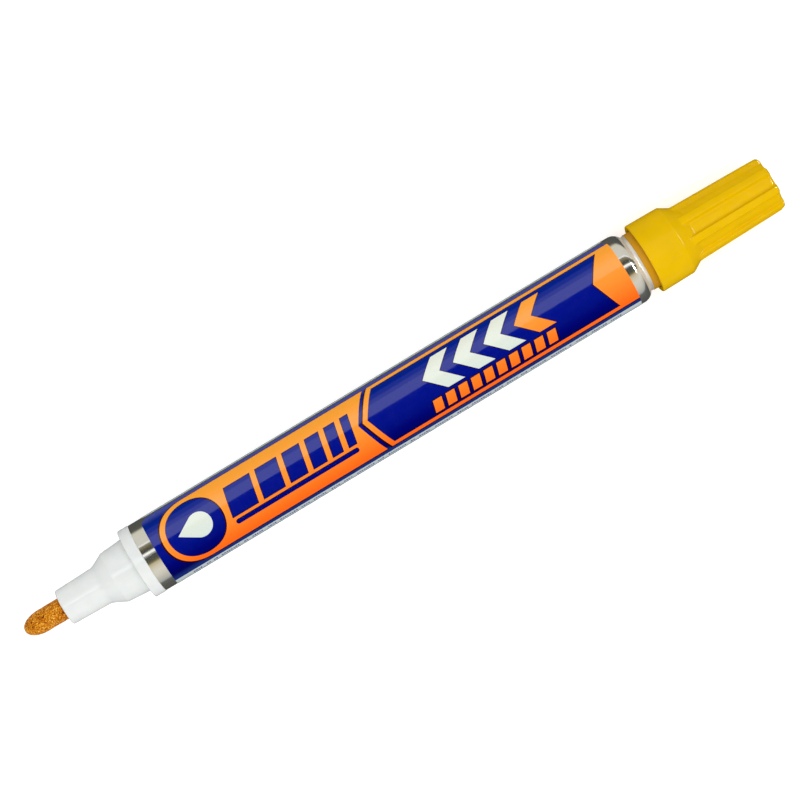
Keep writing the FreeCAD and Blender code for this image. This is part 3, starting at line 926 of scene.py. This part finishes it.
def tent_light():
    """Emission whose strength follows the TENT stops round the pen's axis."""
    material = bpy.data.materials.new("tent_light")
    material.use_nodes = True
    nodes, links = material.node_tree.nodes, material.node_tree.links
    nodes.clear()
    split = nodes.new("ShaderNodeSeparateXYZ")
    links.new(nodes.new("ShaderNodeTexCoord").outputs["Object"], split.inputs["Vector"])
    flip = nodes.new("ShaderNodeMath")
    flip.operation = "MULTIPLY"
    flip.inputs[1].default_value = -1
    links.new(split.outputs["Y"], flip.inputs[0])
    angle = nodes.new("ShaderNodeMath")
    angle.operation = "ARCTAN2"
    links.new(flip.outputs["Value"], angle.inputs[0])
    links.new(split.outputs["Z"], angle.inputs[1])
    turn = nodes.new("ShaderNodeMapRange")
    turn.inputs["From Min"].default_value = -math.pi
    turn.inputs["From Max"].default_value = math.pi
    links.new(angle.outputs["Value"], turn.inputs["Value"])
    ramp = nodes.new("ShaderNodeValToRGB")
    brightest = max(max(light) for _, light in TENT)
    elements = ramp.color_ramp.elements
    while len(elements) < len(TENT):
        elements.new(0.5)
    for element, (degrees, light) in zip(elements, TENT):
        element.position = (degrees + 180) / 360
        element.color = [channel / brightest for channel in light] + [1.0]
    links.new(turn.outputs["Result"], ramp.inputs["Fac"])
    emission = nodes.new("ShaderNodeEmission")
    emission.inputs["Strength"].default_value = brightest
    links.new(ramp.outputs["Color"], emission.inputs["Color"])
    output = nodes.new("ShaderNodeOutputMaterial")
    links.new(emission.outputs["Emission"], output.inputs["Surface"])
    material.cycles.emission_sampling = "NONE"
    return material


def make_tent(receivers):
    """A long tube of light round the pen that only mirrors show."""
    mesh = bmesh.new()
    radius, half_length, sides = 0.9, 4.0, 96
    rings = []
    for along in (-half_length, half_length):
        turns = (math.tau * index / sides for index in range(sides))
        rings.append(
            [mesh.verts.new((along, radius * math.sin(a), radius * math.cos(a))) for a in turns]
        )
    for index in range(sides):
        after = (index + 1) % sides
        mesh.faces.new((rings[0][index], rings[0][after], rings[1][after], rings[1][index]))
    data = bpy.data.meshes.new("tent")
    mesh.to_mesh(data)
    mesh.free()
    data.materials.append(tent_light())
    tent = bpy.data.objects.new("tent", data)
    tent.location.z = AXIS_Z
    bpy.context.scene.collection.objects.link(tent)
    only_glossy(tent, receivers)


def add_panel(name, angle, spread, distance, length, radiance):
    """A long soft light beside the pen, at an angle from overhead towards -Y."""
    width = 2 * distance * math.tan(math.radians(spread / 2))
    light = bpy.data.lights.new(name, "AREA")
    light.shape = "RECTANGLE"
    light.size = length
    light.size_y = width
    light.energy = radiance * math.pi * width * length
    lamp = bpy.data.objects.new(name, light)
    tilt = math.radians(angle)
    lamp.location = (0, -distance * math.sin(tilt), AXIS_Z + distance * math.cos(tilt))
    lamp.rotation_euler = (tilt, 0, 0)
    bpy.context.scene.collection.objects.link(lamp)
    return lamp


def make_lights(cap, label, spring):
    """An even sky, a soft overhead key, and panels that show only in reflections."""
    world = bpy.data.worlds.new("sky")
    bpy.context.scene.world = world
    world.use_nodes = True
    world.node_tree.nodes["Background"].inputs["Color"].default_value = (0.53, 0.53, 0.535, 1)
    world.cycles_visibility.glossy = False
    add_panel("key", -6, 62, 1.2, 1.8, 1.3).visible_glossy = False
    add_panel("side_key", 44, 12, 1.2, 0.5, 8.5).visible_glossy = False
    metal = [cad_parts[node] for node in ("barrel", "mixing_ball")]
    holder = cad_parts["front_section"]
    make_tent([*metal, spring, holder])
    only_glossy(add_panel("sheen", -34, 33, 0.7, 1.8, 1.45), [label])
    only_glossy(add_panel("sheen_edge", -57, 12, 0.7, 1.8, 0.85), [label])
    only_glossy(add_panel("sheen_fade", -71, 16, 0.7, 1.8, 0.3), [label])
    only_glossy(add_panel("holder_strip", -9.5, 4.5, 0.7, 1.8, 3.8), [holder])
    distance, tilt, lean = 0.6, math.radians(46), math.radians(4)
    aim_x, aside = 0.055, -0.04
    glint = add_panel("cap_glint", 7, 30, distance, 0.03, 70)
    reach, rise = distance * math.sin(tilt), distance * math.cos(tilt)
    glint.location = (aim_x + reach, aside, AXIS_Z + rise)
    glint.rotation_euler = (lean, tilt, 0)
    only_glossy(glint, [cap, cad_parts["barrel"]])


def make_camera():
    """Camera above the pen, a little nearer its nib, turned so that the pen climbs to the right."""
    turn = math.radians(-31.02)
    height = 0.56
    centre_x, centre_y, camera_x = 1.03 * MM, 0.97 * MM, -12 * MM
    camera_data = bpy.data.cameras.new("camera")
    camera_data.sensor_width = 36
    camera_data.lens = 131.1
    camera_data.clip_end = 10
    shift = (centre_x - camera_x) / height * camera_data.lens / camera_data.sensor_width
    camera_data.shift_x = shift * math.cos(turn)
    camera_data.shift_y = -shift * math.sin(turn)
    camera = bpy.data.objects.new("camera", camera_data)
    camera.location = (camera_x, centre_y, AXIS_Z + height)
    camera.rotation_euler = (0, 0, turn)
    bpy.context.scene.collection.objects.link(camera)
    bpy.context.scene.camera = camera


make_camera()
make_floor()
finish_cad_pieces()
make_nib()
make_lights(make_cap(), make_label(), make_spring())
bpy.context.scene.view_settings.view_transform = "Standard"
